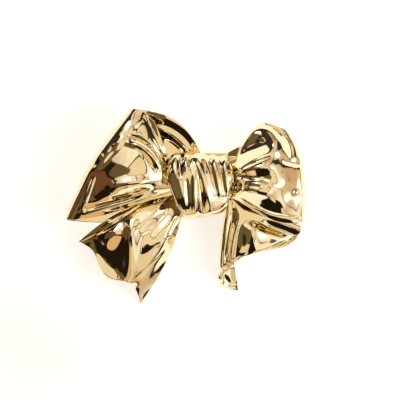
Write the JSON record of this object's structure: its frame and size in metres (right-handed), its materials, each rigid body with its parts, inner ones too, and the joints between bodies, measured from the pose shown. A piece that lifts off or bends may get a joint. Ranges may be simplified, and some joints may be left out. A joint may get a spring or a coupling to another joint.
{
  "type": "bow brooch",
  "caption": "Ribbon bow brooch of polished gold sheet: hollow loops, pleated knot, curling tails and a pin behind.",
  "frame": {"origin": "middle of the brooch's footprint, on the surface that it lies on", "axes": "+X to the right across the bow, +Y up the bow, +Z out of its face"},
  "size_m": [0.0602, 0.049, 0.0164],
  "materials": {
    "ribbon_gold": "mirror-polished yellow gold plate",
    "back_gold": "satin yellow gold plate"
  },
  "bodies": {
    "root": {"left_loop": "ribbon_gold", "right_loop": "ribbon_gold", "left_tail": "ribbon_gold", "right_tail": "ribbon_gold", "knot": "ribbon_gold", "back_band": "back_gold", "pin": "back_gold"}
  },
  "joints": []
}
